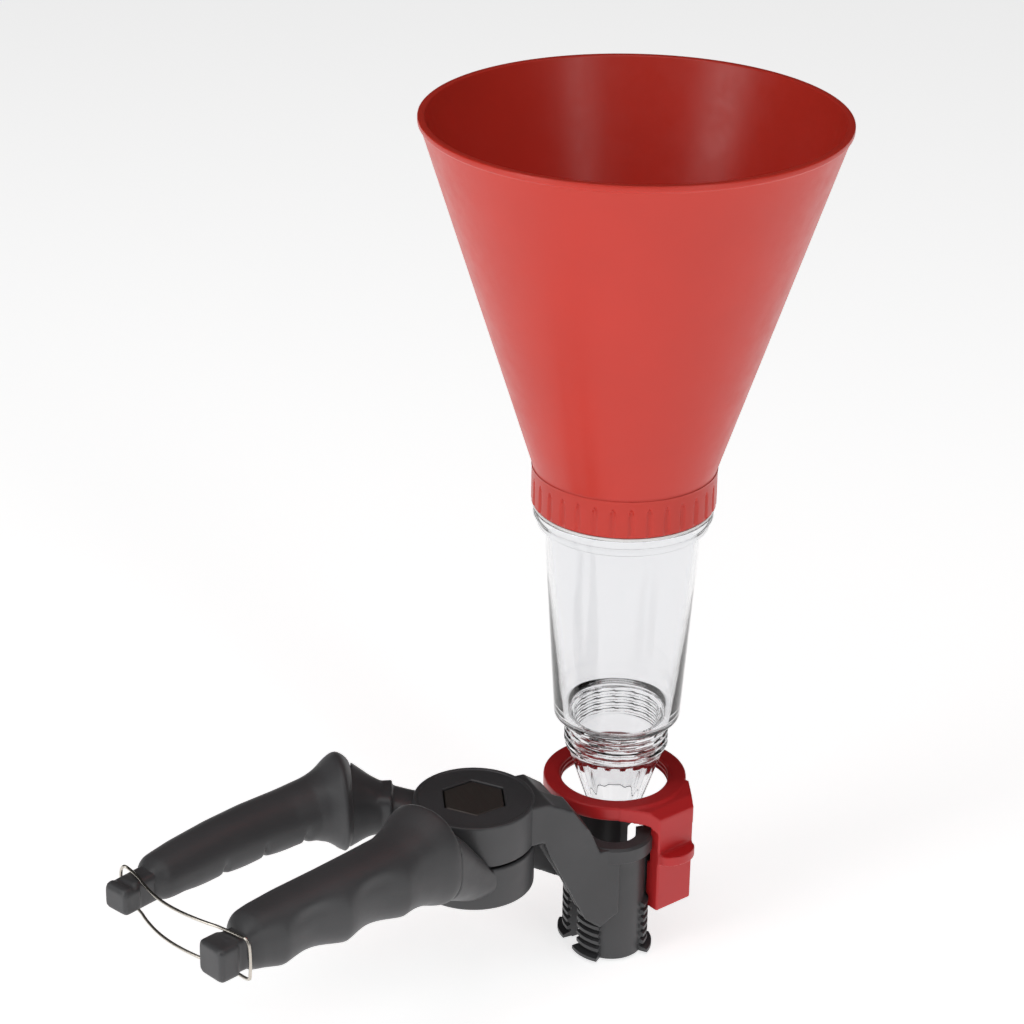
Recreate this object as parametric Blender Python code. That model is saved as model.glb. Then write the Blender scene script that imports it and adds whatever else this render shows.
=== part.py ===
"""Clamp-on oil filling funnel: red bowl, clear sight tube, screw-ring bracket and spring clamp.

Frame: metres, +Z up. The origin is the centre of the filler neck that the jaws grip, level with
the jaws' lower ends. +X runs from the clamp's pivot to the jaws, along the clamp's middle plane.
Lengths below are millimetres; every mesh is scaled by MM as it is made.
"""
import math

import bmesh
import bpy
import numpy as np
from mathutils import Matrix, Vector

MM = 0.001
GAP = 0.3                       # clearance between pieces that touch

# --- driving dimensions ---------------------------------------------------------------------
FUNNEL_X, FUNNEL_Y = 8.8, 13.2  # the bowl's and tube's upright axis
PIVOT_X = -51.5                 # the clamp's pivot, on the middle plane
OPEN_ANGLE = 5.4                # each lever's turn from fully closed, held by the wire lock

RIM_R, RIM_Z = 69.6, 297.6      # bowl
WALL = 2.3
COLLAR_R, COLLAR_TOP, COLLAR_BOTTOM = 31.2, 176.7, 163.2
COLLAR_GROOVES = 32
NECK_R, NECK_TOP = 28.3, 173.2  # tube's neck inside the collar
FLANGE_R, FLANGE_Z = 30.5, 161.7
TUBE_TOP_R, TUBE_TOP_Z = 26.5, 154.5
TUBE_LOW_R, TUBE_LOW_Z = 21.9, 82.7
TUBE_WALL = 1.6
THREAD_R, THREAD_ROOT, THREAD_PITCH, THREAD_TURNS = 18.15, 17.2, 2.4, 5
SPIGOT_R, SPIGOT_Z = 16.9, 69.4
SPIGOT_TIP_R, SPIGOT_TIP_Z = 10.1, 48.0

RING_IN, RING_OUT, RING_LOW, RING_TOP = 19.6, 25.1, 52.4, 57.7
LEG_TURN = 14.2                 # the leg's width runs this many degrees from +X
LEG_FACE, LEG_THICK = 29.3, 4.6  # outer face's distance from the funnel axis, and thickness
LEG_LEFT, LEG_RIGHT = -4.6, 11.3
LEG_TOP, LEG_LOW = 53.0, 16.5

HUB_R = 20.8
UPPER_LOW, UPPER_TOP = 53.0, 68.6
LOWER_LOW, LOWER_TOP = 36.6, 52.0
HANDLE_Z = 63.5                 # the handles' middle height

JAW_A = 51.5                    # jaw axis to pivot
JAW_TOP, BAND_LOW = 46.0, 39.0
JAW_IN, JAW_OUT, BAND_OUT = 8.2, 11.2, 13.6
RIB_PITCH, RIB_COUNT, RIB_REACH = 3.0, 7, 12.9

WIRE_R = 0.55
GRIP_SIDES = 28

# Handle stations: distance along -X and offset along Y from the pivot, half width, half height.
FAR_CORE = ((24.0, 14.5, 8.0, 6.6), (37.0, 20.0, 6.0, 6.8), (48.0, 21.6, 4.5, 6.5),
            (61.4, 19.6, 4.5, 6.2), (75.0, 16.0, 4.5, 6.0), (88.4, 11.4, 4.5, 5.8),
            (102.6, 5.9, 4.5, 5.6), (119.0, -1.2, 4.4, 5.4), (124.0, -3.4, 4.4, 5.4))
FAR_GRIP = ((36.5, 20.2, 13.0, 14.5), (38.0, 20.8, 15.0, 16.2), (40.5, 21.4, 14.6, 15.8),
            (44.0, 21.8, 12.6, 13.6), (49.0, 21.8, 10.8, 11.6), (61.4, 19.6, 9.8, 10.6),
            (75.0, 16.0, 9.5, 10.4), (88.4, 11.4, 9.2, 10.0), (102.6, 5.9, 8.6, 9.2),
            (111.0, 2.3, 8.0, 8.2), (115.0, 0.6, 7.0, 7.4), (116.6, -0.1, 6.0, 6.6))
NEAR_CORE = ((21.6, -16.7, 7.0, 7.2), (36.0, -25.6, 5.4, 7.6), (48.0, -30.4, 4.8, 7.6),
             (58.0, -33.8, 4.8, 7.4), (67.0, -36.6, 4.8, 7.4), (84.3, -41.6, 4.8, 7.2),
             (97.6, -45.6, 4.8, 6.8), (102.0, -47.2, 4.6, 6.4), (107.0, -49.0, 4.6, 6.4))
NEAR_GRIP = ((26.4, -20.3, 13.4, 16.8), (27.8, -21.1, 15.4, 18.8), (30.5, -22.6, 15.2, 18.2),
             (35.0, -25.1, 13.8, 15.8), (42.0, -28.2, 12.4, 14.0), (54.0, -32.4, 12.0, 13.9),
             (67.0, -36.6, 11.6, 13.2), (84.3, -41.6, 10.8, 12.4), (94.6, -44.6, 9.6, 11.6),
             (99.0, -46.1, 8.8, 10.6), (101.4, -47.0, 7.6, 9.4), (102.4, -47.4, 6.4, 8.4))


# --- mesh helpers ---------------------------------------------------------------------------
def solid(name, verts, faces):
    """One closed mesh object from points in millimetres, faces turned outwards."""
    mesh = bpy.data.meshes.new(name)
    mesh.from_pydata([tuple(float(c) * MM for c in v) for v in verts], [], faces)
    bm = bmesh.new()
    bm.from_mesh(mesh)
    bmesh.ops.remove_doubles(bm, verts=bm.verts, dist=1e-7)
    bmesh.ops.recalc_face_normals(bm, faces=bm.faces)
    bm.to_mesh(mesh)
    bm.free()
    obj = bpy.data.objects.new(name, mesh)
    bpy.context.scene.collection.objects.link(obj)
    return obj


def loft(name, rings, closed=False):
    """A skin through equal rings of points, capped at both ends or closed on itself."""
    count, sides = len(rings), len(rings[0])
    verts = [p for ring in rings for p in ring]
    faces = []
    for i in range(count if closed else count - 1):
        j = (i + 1) % count
        for k in range(sides):
            m = (k + 1) % sides
            faces.append((i * sides + k, i * sides + m, j * sides + m, j * sides + k))
    if not closed:
        faces.append(tuple(range(sides)))
        faces.append(tuple((count - 1) * sides + k for k in range(sides)))
    return solid(name, verts, faces)


def prism(name, outline, low, high):
    """An outline in the XY plane raised from low to high."""
    return loft(name, [[(x, y, low) for x, y in outline], [(x, y, high) for x, y in outline]])


def side_prism(name, outline, near, far):
    """An outline in the XZ plane carried from y = near to y = far."""
    return loft(name, [[(x, near, z) for x, z in outline], [(x, far, z) for x, z in outline]])


def circle(radius, sides, cx=0.0, cy=0.0, phase=0.0):
    angles = [math.radians(phase) + 2 * math.pi * k / sides for k in range(sides)]
    return [(cx + radius * math.cos(a), cy + radius * math.sin(a)) for a in angles]


def turned(name, profile, sides, cx=0.0, cy=0.0, radius_at=None):
    """A closed profile of (radius, z) points turned about an upright axis."""
    rings = []
    for k in range(sides):
        a = 2 * math.pi * k / sides
        ring = []
        for r, z in profile:
            r = radius_at(r, z, k) if radius_at else r
            ring.append((cx + r * math.cos(a), cy + r * math.sin(a), z))
        rings.append(ring)
    return loft(name, rings, closed=True)


def boolean(target, tool, operation):
    """Unite the tool with the target, or cut the target with it; the tool is removed."""
    modifier = target.modifiers.new(operation, "BOOLEAN")
    modifier.operation = operation
    modifier.solver = "EXACT"
    modifier.object = tool
    apply_modifiers(target)
    bpy.data.objects.remove(tool)
    return target


def join(target, *tools):
    for tool in tools:
        boolean(target, tool, "UNION")
    return target


def cut(target, *tools):
    for tool in tools:
        boolean(target, tool, "DIFFERENCE")
    return target


def apply_modifiers(obj):
    graph = bpy.context.evaluated_depsgraph_get()
    mesh = bpy.data.meshes.new_from_object(obj.evaluated_get(graph))
    obj.modifiers.clear()
    old = obj.data
    obj.data = mesh
    bpy.data.meshes.remove(old)


def turn_about(obj, degrees, x, y):
    """Turn a mesh about the upright line through (x, y) in millimetres."""
    centre = Vector((x * MM, y * MM, 0))
    turn = Matrix.Rotation(math.radians(degrees), 4, "Z")
    obj.data.transform(Matrix.Translation(centre) @ turn @ Matrix.Translation(-centre))
    return obj


def origin_at(obj, x, y, z):
    """Move an object's origin to a point of its joint's axis, leaving its shape in place."""
    point = Vector((x, y, z)) * MM
    obj.data.transform(Matrix.Translation(-point))
    obj.location = point
    return obj


def material(name, colour, roughness, metallic=0.0, transmission=0.0):
    mat = bpy.data.materials.new(name)
    mat.use_nodes = True
    shader = mat.node_tree.nodes["Principled BSDF"]
    shader.inputs["Base Color"].default_value = (*colour, 1.0)
    shader.inputs["Roughness"].default_value = roughness
    shader.inputs["Metallic"].default_value = metallic
    shader.inputs["Transmission Weight"].default_value = transmission
    return mat


def dress(obj, mat, smooth_angle=35.0):
    obj.data.materials.clear()
    obj.data.materials.append(mat)
    obj.data.shade_smooth()
    obj.data.set_sharp_from_angle(angle=math.radians(smooth_angle))
    return obj


# --- bowl, gasket and sight tube ------------------------------------------------------------
def make_bowl(mat):
    """Cone with a small outer lip, a collar with upright grooves, and a seat over the tube."""
    sides = COLLAR_GROOVES * 4
    slope = (RIM_R - 0.7 - 31.0) / (RIM_Z - 2.2 - COLLAR_TOP - 0.2)
    groove_top, groove_low = COLLAR_TOP - 3.0, COLLAR_BOTTOM + 0.4
    inner_low = 31.0 + slope * 1.8 - WALL
    seat = NECK_TOP + GAP
    profile = [
        (RIM_R - 0.5, RIM_Z), (RIM_R, RIM_Z - 0.5), (RIM_R, RIM_Z - 1.8), (RIM_R - 0.7, RIM_Z - 2.2),
        (31.0, COLLAR_TOP + 0.2), (COLLAR_R, COLLAR_TOP), (COLLAR_R, groove_top + 0.3),
        (COLLAR_R, groove_top), (COLLAR_R, groove_low), (COLLAR_R - 0.4, COLLAR_BOTTOM),
        (NECK_R + GAP, COLLAR_BOTTOM), (NECK_R + GAP, seat), (24.5, seat), (24.5, seat + 3.0),
        (28.0, COLLAR_TOP + 0.8), (inner_low, COLLAR_TOP + 1.8),
        (RIM_R - 0.5 - WALL, RIM_Z - 0.4), (RIM_R - 0.1 - WALL, RIM_Z)]

    def grooved(r, z, k):
        in_groove = k % 4 == 0 and abs(r - COLLAR_R) < 1e-6 and groove_low <= z <= groove_top
        return r - 0.6 if in_groove else r

    bowl = turned("funnel_bowl", profile, sides, FUNNEL_X, FUNNEL_Y, grooved)
    return origin_at(dress(bowl, mat), FUNNEL_X, FUNNEL_Y, COLLAR_BOTTOM)


def make_gasket(mat):
    low, high = FLANGE_Z + GAP, COLLAR_BOTTOM - GAP
    profile = [(NECK_R + GAP, low), (COLLAR_R - 0.5, low), (COLLAR_R - 0.5, high),
               (NECK_R + GAP, high)]
    gasket = turned("collar_gasket", profile, 64, FUNNEL_X, FUNNEL_Y)
    return dress(gasket, mat)


def make_tube(mat):
    """Clear moulding: neck, two-step flange, tapered body, threaded neck and tapered spigot."""
    outer = [(NECK_R, NECK_TOP), (NECK_R, FLANGE_Z), (FLANGE_R, FLANGE_Z),
             (FLANGE_R, FLANGE_Z - 2.7), (FLANGE_R - 1.2, FLANGE_Z - 2.9),
             (FLANGE_R - 1.2, FLANGE_Z - 5.7), (TUBE_TOP_R + 0.4, FLANGE_Z - 6.1),
             (TUBE_TOP_R, TUBE_TOP_Z), (TUBE_LOW_R, TUBE_LOW_Z),
             (TUBE_LOW_R - 0.4, TUBE_LOW_Z - 0.6), (THREAD_ROOT, TUBE_LOW_Z - 0.8)]
    for turn in range(THREAD_TURNS):
        crest = TUBE_LOW_Z - 2.4 - turn * THREAD_PITCH
        outer += [(THREAD_ROOT, crest + 0.8), (THREAD_R, crest + 0.2), (THREAD_R, crest - 0.2),
                  (THREAD_ROOT, crest - 0.8)]
    outer += [(SPIGOT_R, SPIGOT_Z), (13.2, RING_TOP), (SPIGOT_TIP_R, SPIGOT_TIP_Z)]
    inner = [(SPIGOT_TIP_R - TUBE_WALL, SPIGOT_TIP_Z), (13.2 - TUBE_WALL, RING_TOP),
             (SPIGOT_R - TUBE_WALL, SPIGOT_Z), (15.6, TUBE_LOW_Z - 1.0),
             (TUBE_LOW_R - TUBE_WALL, TUBE_LOW_Z + 1.5), (TUBE_TOP_R - TUBE_WALL, TUBE_TOP_Z),
             (25.2, FLANGE_Z), (25.6, NECK_TOP)]
    tube = turned("sight_tube", outer + inner, 64, FUNNEL_X, FUNNEL_Y)
    return origin_at(dress(tube, mat), FUNNEL_X, FUNNEL_Y, SPIGOT_TIP_Z)


# --- bracket --------------------------------------------------------------------------------
def bracket_point(t, n, z):
    """A point given by its place along the leg's width, its distance from the axis, and height."""
    turn = math.radians(LEG_TURN)
    along = (math.cos(turn), math.sin(turn))
    outward = (math.sin(turn), -math.cos(turn))
    return (FUNNEL_X + t * along[0] + n * outward[0], FUNNEL_Y + t * along[1] + n * outward[1], z)


def bracket_block(name, t0, t1, n0, n1, z0, z1):
    corners = [(t0, n0), (t1, n0), (t1, n1), (t0, n1)]
    return loft(name, [[bracket_point(t, n, z) for t, n in corners] for z in (z0, z1)])


def make_bracket(mat):
    """Threaded ring, sloping bridge, flat leg with a thumb tab, and hooks round the jaw's rail."""
    step = 1.7
    ring_profile = [(RING_IN, RING_TOP), (RING_OUT - 1.0, RING_TOP), (RING_OUT, RING_TOP - 1.0),
                    (RING_OUT, RING_LOW), (RING_IN, RING_LOW), (RING_IN - 0.8, RING_LOW + 0.9),
                    (RING_IN, RING_LOW + step), (RING_IN - 0.8, RING_LOW + 0.9 + step),
                    (RING_IN, RING_LOW + 2 * step), (RING_IN, RING_TOP - 1.2)]
    ring = turned("ring_bracket", ring_profile, 72, FUNNEL_X, FUNNEL_Y)
    inner, outer_low = LEG_FACE - LEG_THICK, LEG_TOP - 5.0
    sections = [(-16.0, 15.5, 15.0, RING_LOW, RING_TOP), (-14.5, 17.0, 21.0, RING_LOW, RING_TOP),
                (LEG_LEFT - 1.5, LEG_RIGHT + 1.0, 26.5, RING_LOW - 2.6, RING_TOP - 2.6),
                (LEG_LEFT, LEG_RIGHT, LEG_FACE, outer_low, LEG_TOP)]
    bridge = loft("bridge", [[bracket_point(t0, n, z0), bracket_point(t1, n, z0),
                              bracket_point(t1, n, z1), bracket_point(t0, n, z1)]
                             for t0, t1, n, z0, z1 in sections])
    bore = prism("bore", circle(RING_IN + 0.4, 72, FUNNEL_X, FUNNEL_Y, 2.5), 30.0, 70.0)
    cut(bridge, bore)
    leg = bracket_block("leg", LEG_LEFT, LEG_RIGHT, inner, LEG_FACE, LEG_LOW, LEG_TOP - 0.4)
    middle, reach, half = (LEG_LEFT + LEG_RIGHT) / 2, 5.2, 7.6
    arc = [(middle + half * math.cos(a), LEG_FACE + reach * math.sin(a))
           for a in np.linspace(0, math.pi, 17)]
    outline = [(middle + half, inner + 1.0)] + arc + [(middle - half, inner + 1.0)]
    tab = loft("tab", [[bracket_point(t, n, z) for t, n in outline] for z in (35.4, 39.2)])
    hooks = []
    for t0, t1 in ((LEG_LEFT + 0.2, -1.2), (LEG_RIGHT - 3.4, LEG_RIGHT - 0.2)):
        hooks.append(bracket_block("hook", t0, t1, 23.1, inner + 0.5, 21.0, 34.5))
        hooks.append(bracket_block("foot", t0, t1, 23.1, inner + 0.5, LEG_LOW + 0.2, LEG_LOW + 2.6))
    join(ring, bridge, leg, tab, *hooks)
    return origin_at(dress(ring, mat), FUNNEL_X, FUNNEL_Y, RING_TOP)


# --- levers ---------------------------------------------------------------------------------
def sweep(name, stations, section):
    """A bar through stations (back, across, half width, half height), upright sections.

    section(half_w, half_h, back) gives points (sideways, up); sideways is +Y-wards.
    """
    line = np.array([(PIVOT_X - back, across) for back, across, _, _ in stations])
    rings = []
    for i, (back, across, half_w, half_h) in enumerate(stations):
        step = line[min(i + 1, len(line) - 1)] - line[max(i - 1, 0)]
        step /= np.linalg.norm(step)
        side = np.array((step[1], -step[0])) * (1 if step[0] < 0 else -1)
        rings.append([(line[i][0] + side[0] * u, line[i][1] + side[1] * u, HANDLE_Z + v)
                      for u, v in section(half_w, half_h, back)])
    return loft(name, rings)


def box_section(half_w, half_h, back):
    return [(-half_w, -half_h), (half_w, -half_h), (half_w, half_h), (-half_w, half_h)]


def resample(stations, step):
    """Even stations through the given ones, by linear steps between them."""
    table = np.array(stations)
    count = int((table[-1][0] - table[0][0]) / step)
    at = sorted(set(np.round(np.linspace(table[0][0], table[-1][0], count + 1), 3))
                | set(table[:, 0]))
    return [(a, *(float(np.interp(a, table[:, 0], table[:, k])) for k in (1, 2, 3))) for a in at]


def make_stub(name, core, half_w, half_h, length, lip):
    """Block on a handle's end, over the wire's groove, with a raised lip on its end."""
    (b0, y0, _, _), (b1, y1, _, _) = core[-2], core[-1]
    out = np.array((b1 - b0, y1 - y0))
    out /= np.linalg.norm(out)
    start = np.array((b1, y1)) - out * 1.0
    mid, tip = start + out * (length - 1.4), start + out * length
    block = sweep(name, [(*start, half_w, half_h), (*mid, half_w, half_h),
                         (*tip, half_w - 1.2, half_h - 1.2)], box_section)
    if lip:
        a, b = start + out * (length - 3.4), start + out * (length - 0.6)
        rim = sweep("lip", [(*a, half_w - 0.2, half_h + 0.8), (*b, half_w - 0.6, half_h + 0.6)],
                    box_section)
        cut(rim, prism("under", circle(60.0, 8, PIVOT_X - b1, y1), 0.0, HANDLE_Z))
        join(block, rim)
    return block


def half_jaw(name, side, jaw_out):
    """Half of a pipe with a wider band on top and gripping ribs at both ends of the half."""
    cx = PIVOT_X + JAW_A
    profile = [(JAW_IN, 0.0), (jaw_out - 0.6, 0.0), (jaw_out, 0.6), (jaw_out, BAND_LOW),
               (BAND_OUT, BAND_LOW + 1.5), (BAND_OUT, JAW_TOP - 0.8), (BAND_OUT - 0.8, JAW_TOP),
               (JAW_IN, JAW_TOP)]
    jaw = turned(name, profile, 48, cx, 0.0)
    for start, end in ((side * 178.0, side * 128.0), (side * 49.0, side * 2.0)):
        join(jaw, rib_strip("ribs", cx, start, end, jaw_out - 0.7))
    keep = 40.0
    y0, y1 = (-0.3, keep) if side < 0 else (-keep, 0.3)
    return cut(jaw, side_prism("half", [(-keep, -5), (keep, -5), (keep, 60), (-keep, 60)], y0, y1))


def rib_strip(name, cx, start, end, back):
    """Curved strip of ribs, the lowest one wider, from one angle to another about x = cx."""
    root = back + 1.3
    profile = [(back, 0.4)]
    z = 0.4
    for k in range(RIB_COUNT):
        tip = RIB_REACH + (1.6 if k == 0 else 0.0)
        profile += [(tip, z), (tip, z + 1.5), (root, z + 1.9), (root, z + RIB_PITCH)]
        z += RIB_PITCH
    profile += [(back, z)]
    rings = []
    for k in range(9):
        a = math.radians(start + (end - start) * k / 8)
        rings.append([(cx + r * math.cos(a), r * math.sin(a), h) for r, h in profile])
    return loft(name, rings)


def make_upper_lever(mat):
    """Far handle, upper hub disc, sloping hollow arm and near jaw with the bracket's rail."""
    disc = prism("upper_lever", circle(HUB_R, 56, PIVOT_X, 0), UPPER_LOW, UPPER_TOP)
    neck = prism("neck", [(PIVOT_X - a, b) for a, b in ((5, -3), (32, 12.0), (34.5, 22), (23, 19.5),
                                                        (10, 17.5))], UPPER_LOW + 0.4, HANDLE_Z + 2.5)
    cut(neck, prism("hub_room", circle(HUB_R + 0.8, 56, PIVOT_X, 0), 30.0, UPPER_LOW + 0.2),
        prism("top_room", circle(HUB_R - 0.5, 56, PIVOT_X, 0), UPPER_TOP - 0.2, 90.0))
    join(disc, neck, sweep("core", FAR_CORE, box_section),
         make_stub("stub", FAR_CORE, 5.2, 4.4, 6.5, True))
    web = side_prism("web", [(-47, UPPER_TOP - 0.2), (-29, UPPER_TOP - 0.4), (-22, 63.0),
                             (-22, 56.5), (-33, UPPER_LOW + 0.2), (-47, UPPER_LOW + 0.2)],
                     -14.0, 9.0)
    join(disc, web)
    arm = side_prism("arm", [(-45, UPPER_TOP - 0.4), (-29, UPPER_TOP - 0.6), (-20, 64.0),
                             (-13.5, 55.0), (-9.5, JAW_TOP - 0.3), (-2, JAW_TOP - 0.3), (-2, 20),
                             (-9.0, 15.0), (-14.5, 19.5), (-29.5, 51.0),
                             (-30.0, UPPER_LOW + 0.3), (-45, UPPER_LOW + 0.3)], -12.0, -1.2)
    pocket = side_prism("pocket", [(-38, 32), (-29.5, 52.0), (-24.5, 52.0), (-12.5, 24.0),
                                   (-14.5, 7.0)], -10.4, -3.0)
    rib = side_prism("rib", [(-31, 50.5), (-25.5, 54.0), (-10, 28.0), (-14.0, 20.5)], -7.4, -6.2)
    cut(arm, pocket)
    join(arm, rib)
    cut(arm, prism("bore", circle(JAW_IN + 1.1, 48, PIVOT_X + JAW_A, 0, 2.0), -5.0, 60.0))
    jaw = half_jaw("jaw", -1, JAW_OUT)
    join(arm, jaw)
    turn_about(arm, -OPEN_ANGLE, PIVOT_X, 0.0)
    join(disc, arm)
    cut(disc, prism("head_seat", circle(11.5 + GAP + 0.15, 6, PIVOT_X, 0, 70.0), 61.2, 80.0),
        prism("bolt_hole", circle(5.3, 32, PIVOT_X, 0), 30.0, 80.0),
        turned("spring_room", [(8.8, 45.0), (14.0, 45.0), (14.0, 59.0), (8.8, 59.0)], 40,
               PIVOT_X, 0.0))
    add_rail(disc)
    return dress(disc, mat)


def add_rail(lever):
    """Upright rail on the near jaw that the bracket's hooks slide on, with room for its leg."""
    rail = bracket_block("rail", -0.8, LEG_RIGHT - 3.8, 17.0, 24.3, 18.4, JAW_TOP - 0.2)
    root = bracket_block("rail_root", -3.5, 5.5, 14.5, 22.5, 18.0, JAW_TOP - 0.5)
    jaw_x = PIVOT_X + JAW_A * math.cos(math.radians(OPEN_ANGLE))
    jaw_y = -JAW_A * math.sin(math.radians(OPEN_ANGLE))
    join(rail, root)
    cut(rail, prism("hollow", circle(JAW_IN + 1.3, 48, jaw_x, jaw_y, 1.0), -5.0, 60.0),
        prism("mid", [(-30, jaw_y + 1.0), (40, jaw_y - 5.0), (40, 40), (-30, 40)], -5.0, 60.0))
    join(lever, rail)
    inner = LEG_FACE - LEG_THICK
    cut(lever, bracket_block("leg_room", LEG_LEFT - 0.4, LEG_RIGHT + 0.5, inner - GAP, 40.0,
                             -1.0, 60.0),
        bracket_block("hook_room", LEG_LEFT - 0.4, -0.9, 22.8, 30.0, 15.5, 60.0),
        bracket_block("hook_room", LEG_RIGHT - 3.7, 20.0, 22.8, 30.0, 15.5, 60.0))


def make_lower_lever(mat):
    """Near handle, lower hub disc, low arm and far jaw."""
    disc = prism("lower_lever", circle(HUB_R, 56, PIVOT_X, 0), LOWER_LOW, LOWER_TOP)
    toward = Vector((-0.79, -0.613))
    across = Vector((toward.y, -toward.x))
    corners = [(6.0, -11.0), (29.8, -8.6), (29.8, 8.6), (6.0, 11.0)]
    plan = [(PIVOT_X + a * toward.x + b * across.x, a * toward.y + b * across.y)
            for a, b in corners]
    neck = prism("neck", plan, LOWER_LOW + 3.8, HANDLE_Z + 8.0)
    cut(neck, prism("hub_room", circle(HUB_R + 0.8, 56, PIVOT_X, 0), LOWER_TOP - 0.2, 90.0))
    arm = side_prism("arm", [(-43, 49.0), (-30, 49.0), (-16, JAW_TOP - 0.6), (-2, JAW_TOP - 0.6),
                             (-2, 26), (-10, 22.0), (-34, LOWER_LOW + 0.3),
                             (-43, LOWER_LOW + 0.3)], 1.2, 12.0)
    cut(arm, prism("bore", circle(JAW_IN + 1.1, 48, PIVOT_X + JAW_A, 0, 2.0), -5.0, 60.0))
    join(arm, half_jaw("jaw", 1, JAW_OUT))
    turn_about(arm, OPEN_ANGLE, PIVOT_X, 0.0)
    join(disc, neck, sweep("core", NEAR_CORE, box_section),
         make_stub("stub", NEAR_CORE, 5.8, 6.1, 7.5, False), arm)
    cut(disc, prism("bolt_hole", circle(5.3, 32, PIVOT_X, 0), 20.0, 80.0),
        prism("nut_seat", circle(10.2, 32, PIVOT_X, 0), 20.0, 43.4),
        turned("spring_room", [(8.8, 45.4), (14.0, 45.4), (14.0, 59.0), (8.8, 59.0)], 40,
               PIVOT_X, 0.0))
    return origin_at(dress(disc, mat), PIVOT_X, 0.0, LOWER_TOP)


def make_grip(name, grip, core, outer, waves, under, mat):
    """Soft sleeve over a handle's core: flared guard, finger hollows and a shallower underside."""
    first, last = 42.0, 98.0

    def section(half_w, half_h, back):
        phase = 2 * math.pi * waves * (back - first) / (last - first)
        wave = 0.5 - 0.5 * math.cos(phase) if waves and first < back < last else 0.0
        points = []
        for k in range(GRIP_SIDES):
            q = 2 * math.pi * k / GRIP_SIDES
            c, s = math.cos(q), math.sin(q)
            u = math.copysign(abs(c) ** 0.8, c) * half_w
            if c * outer > 0:
                u -= outer * 2.0 * wave * c * c
            v = math.copysign(abs(s) ** 0.8, s) * half_h
            points.append((u, v if s > 0 else v * under))
        return points

    sleeve = sweep(name, resample(grip, 3.6), section)
    room = [(back, across, half_w + GAP + 0.05, half_h + GAP) for back, across, half_w, half_h in core]
    cut(sleeve, sweep("core_room", room, box_section))
    return dress(sleeve, mat)


# --- pivot hardware, spring and lock --------------------------------------------------------
def make_pivot_parts(dark, steel):
    head = prism("pivot_bolt", circle(11.5, 6, PIVOT_X, 0, 70.0), 61.5, 68.3)
    shank = prism("shank", circle(5.0, 32, PIVOT_X, 0), 33.0, 62.5)
    dress(join(head, shank), dark)
    nut = prism("pivot_nut", circle(9.0, 6, PIVOT_X, 0, 10.0), 35.6, 41.8)
    dress(cut(nut, prism("nut_hole", circle(5.0 + GAP, 32, PIVOT_X, 0), 20.0, 60.0)), steel)
    flat = [(5.3, 42.1), (9.6, 42.1), (9.6, 43.1), (5.3, 43.1)]
    dress(turned("nut_washer", flat, 32, PIVOT_X, 0.0), steel)
    thin = [(5.3, 52.3), (8.5, 52.3), (8.5, 52.7), (5.3, 52.7)]
    dress(turned("disc_washer", thin, 32, PIVOT_X, 0.0), steel)


def make_spring(mat):
    """Torsion spring in the hub: a round coil of three and a half turns."""
    turns, steps, sides, wire, radius = 3.5, 20, 6, 0.85, 11.4
    low, high = 46.8, 57.6
    count = int(turns * steps)
    rings = []
    for i in range(count + 1):
        a = 2 * math.pi * i / steps
        z = low + (high - low) * i / count
        ring = []
        for k in range(sides):
            q = 2 * math.pi * k / sides
            r = radius + wire * math.cos(q)
            ring.append((PIVOT_X + r * math.cos(a), r * math.sin(a), z + wire * math.sin(q)))
        rings.append(ring)
    return dress(loft("torsion_spring", rings), mat)


def lock_points():
    """Wire lock's centre line: an upper and a lower run, bowed outwards, joined at both ends."""
    far = (120.6, -1.9)
    near = (104.4, -48.0)
    ends = ((far, HANDLE_Z + 5.4, HANDLE_Z - 5.4, 6.8), (near, HANDLE_Z + 6.4, HANDLE_Z - 6.4, -7.5))
    (fx, fy), f_up, f_low, f_side = ends[0]
    (nx, ny), n_up, n_low, n_side = ends[1]
    off = GAP + WIRE_R
    tilt = 0.40
    upper = [(fx + tilt * f_side, fy + f_side, f_up - 2.0),
             (fx + tilt * (f_side - 1.4), fy + f_side - 1.4, f_up + off),
             (fx + 1.0, fy + 3.0, f_up + off)]
    lower = [(nx + tilt * n_side, ny + n_side, n_low + 2.0),
             (nx + tilt * (n_side + 1.4), ny + n_side + 1.4, n_low - off),
             (nx + 1.0, ny + 3.0, n_low - off)]
    for k in range(1, 12):
        t = k / 12
        bow = 5.0 * math.sin(math.pi * t)
        upper.append((fx + (nx - fx) * t + bow, fy + (ny - fy) * t,
                      f_up + off + (n_up - f_up) * t))
        lower.append((nx + (fx - nx) * t + bow, ny + (fy - ny) * t,
                      n_low - off + (f_low - n_low) * t))
    upper += [(nx - 1.0, ny - 3.0, n_up + off),
              (nx + tilt * (n_side + 1.4), ny + n_side + 1.4, n_up + off),
              (nx + tilt * n_side, ny + n_side, n_up - 2.0)]
    lower += [(fx + 1.0, fy + 3.0, f_low - off),
              (fx + tilt * (f_side - 1.4), fy + f_side - 1.4, f_low - off),
              (fx + tilt * f_side, fy + f_side, f_low + 2.0)]
    return [np.array((PIVOT_X - back, across, z)) for back, across, z in upper + lower]


def make_lock(mat):
    path = lock_points()
    count, sides = len(path), 8
    rings = []
    for i in range(count):
        tangent = path[(i + 1) % count] - path[i - 1]
        tangent /= np.linalg.norm(tangent)
        outward = np.array((-1.0, 0.0, 0.0))
        outward -= tangent * (outward @ tangent)
        outward /= np.linalg.norm(outward)
        other = np.cross(tangent, outward)
        rings.append([tuple(path[i] + WIRE_R * (math.cos(q) * outward + math.sin(q) * other))
                      for q in 2 * math.pi * np.arange(sides) / sides])
    lock = dress(loft("wire_lock", rings, closed=True), mat)
    return origin_at(lock, PIVOT_X - 101.4, -55.5, HANDLE_Z)


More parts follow.
